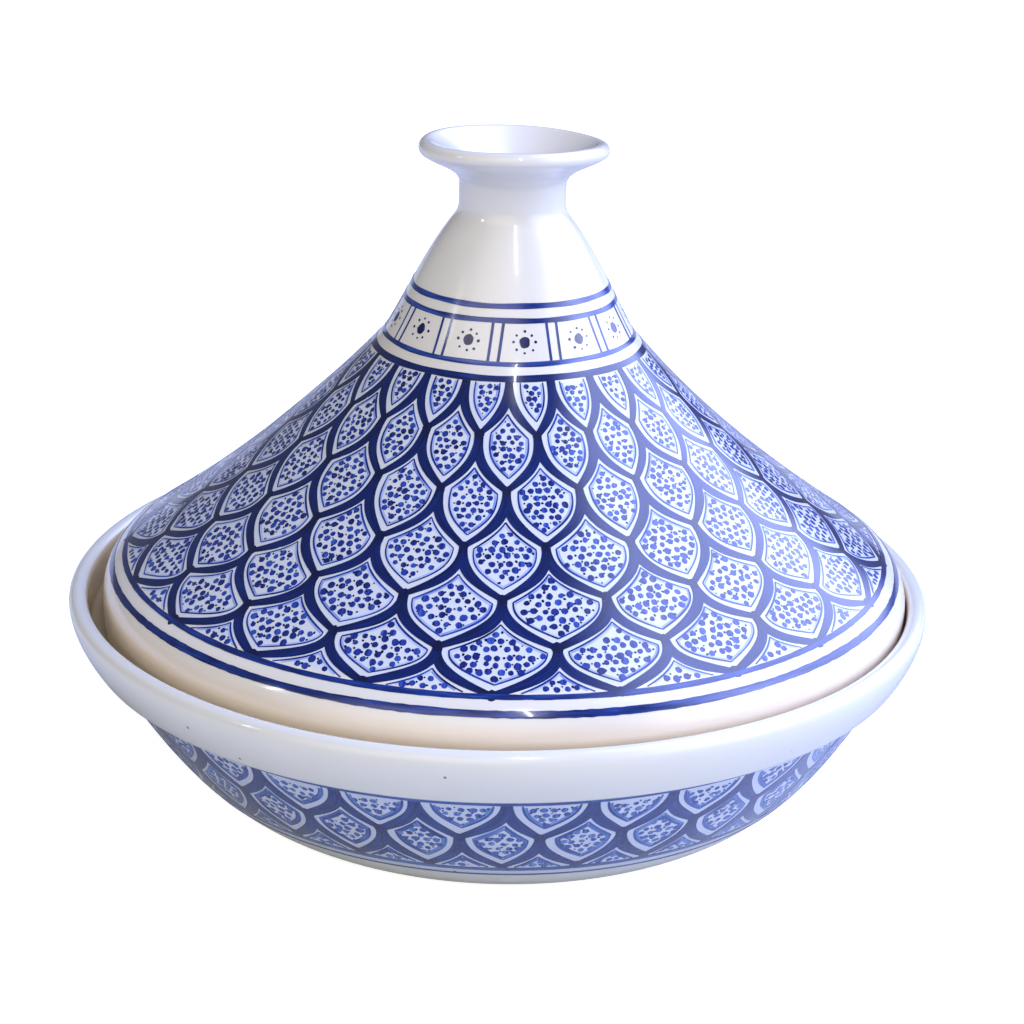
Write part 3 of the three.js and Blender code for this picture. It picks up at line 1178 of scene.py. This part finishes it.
# ---- Studio ----
# A plain white table in a dim room with a white backdrop. A broad cool window stands to the right
# and behind, a warm patch in front fills, a narrow strip lamp draws one line down the lid, and a
# small lamp on the left adds a glint.
TABLE_REACH = 60.0
TABLE_GLOW, TABLE_GLOW_SEEN = 0.05, 0.84
table_mesh = bpy.data.meshes.new("white_table")
table_mesh.from_pydata(
    [(x * TABLE_REACH, y * TABLE_REACH, 0) for x, y in ((-1, -1), (1, -1), (1, 1), (-1, 1))],
    [],
    [(0, 1, 2, 3)],
)
table = bpy.data.objects.new("white_table", table_mesh)
bpy.context.scene.collection.objects.link(table)
laminate, tree = new_material("white_table_laminate")
seen = add(tree, "ShaderNodeLightPath").outputs["Is Camera Ray"]
glow = add(
    tree,
    "ShaderNodeMapRange",
    {"To Min": TABLE_GLOW, "To Max": TABLE_GLOW_SEEN},
    {"Value": seen},
)
board = add(
    tree,
    "ShaderNodeBsdfPrincipled",
    {
        "Base Color": shade("#bfc3c8"),
        "Roughness": 0.8,
        "Emission Color": shade("#ffffff"),
    },
    {"Emission Strength": glow.outputs[0]},
)
add(tree, "ShaderNodeOutputMaterial", {}, {"Surface": board.outputs[0]})
table_mesh.materials.append(laminate)

world = bpy.data.worlds.new("studio_room")
world.use_nodes = True
bpy.context.scene.world = world
tree = world.node_tree
tree.nodes.clear()
ahead = add(tree, "ShaderNodeTexCoord").outputs["Generated"]


def soft_patch(direction, inner, outer, radiance, colour):
    """A round bright patch of the room's wall, whole inside one angle and gone at the other."""
    toward = add(
        tree,
        "ShaderNodeVectorMath",
        {"operation": "DOT_PRODUCT", 1: Vector(direction).normalized()},
        {0: ahead},
    )
    spread = add(
        tree,
        "ShaderNodeMapRange",
        {
            "interpolation_type": "SMOOTHSTEP",
            "From Min": math.cos(math.radians(outer)),
            "From Max": math.cos(math.radians(inner)),
            "To Min": 0.0,
            "To Max": radiance,
        },
        {"Value": toward.outputs["Value"]},
    )
    return add(
        tree,
        "ShaderNodeBackground",
        {"Color": shade(colour)},
        {"Strength": spread.outputs[0]},
    )


WALL_FOOT, WALL_TOP = (0.15, 0.15, 0.155, 1), (0.12, 0.125, 0.14, 1)
height = add(tree, "ShaderNodeSeparateXYZ", {}, {0: ahead})
walls = add(tree, "ShaderNodeValToRGB", {}, {"Fac": height.outputs["Z"]})
walls.color_ramp.elements[0].color = WALL_FOOT
walls.color_ramp.elements[1].position = 0.3
walls.color_ramp.elements[1].color = WALL_TOP
room = add(tree, "ShaderNodeBackground", {"Strength": 1.0}, {"Color": walls.outputs[0]})
for patch in (
    soft_patch((0.7, 0.3, 0.62), 22, 44, 5.3, "#b6c3ff"),
    soft_patch((0.85, -0.35, 0.28), 8, 36, 2.4, "#eef4ff"),
    soft_patch((-0.34, -0.84, 0.42), 12, 44, 1.45, "#fff1dc"),
):
    room = add(tree, "ShaderNodeAddShader", {}, {0: room.outputs[0], 1: patch.outputs[0]})
backdrop = add(tree, "ShaderNodeBackground", {"Color": shade("#ffffff"), "Strength": 1.2})
behind = add(tree, "ShaderNodeLightPath").outputs["Is Camera Ray"]
sight = add(
    tree,
    "ShaderNodeMixShader",
    {},
    {0: behind, 1: room.outputs[0], 2: backdrop.outputs[0]},
)
add(tree, "ShaderNodeOutputWorld", {}, {"Surface": sight.outputs[0]})


LAMP_AIM = Vector((0, 0, 0.12))


def soft_light(name, direction, distance, width, height, radiance, colour):
    """A rectangular soft light that faces the pot, set by how bright its face looks."""
    lamp = bpy.data.lights.new(name, "AREA")
    lamp.shape = "RECTANGLE"
    lamp.size, lamp.size_y = width, height
    lamp.energy = radiance * math.pi * width * height
    lamp.color = shade(colour)[:3]
    obj = bpy.data.objects.new(name, lamp)
    bpy.context.scene.collection.objects.link(obj)
    obj.location = LAMP_AIM + Vector(direction).normalized() * distance
    obj.rotation_euler = (obj.location - LAMP_AIM).to_track_quat("Z", "Y").to_euler()


soft_light("strip_front", (0.086, -0.54, 0.82), 1.3, 0.024, 0.42, 42.0, "#ffffff")
soft_light("small_left", (-0.8, -0.35, 0.5), 1.4, 0.05, 0.16, 30.0, "#ffffff")
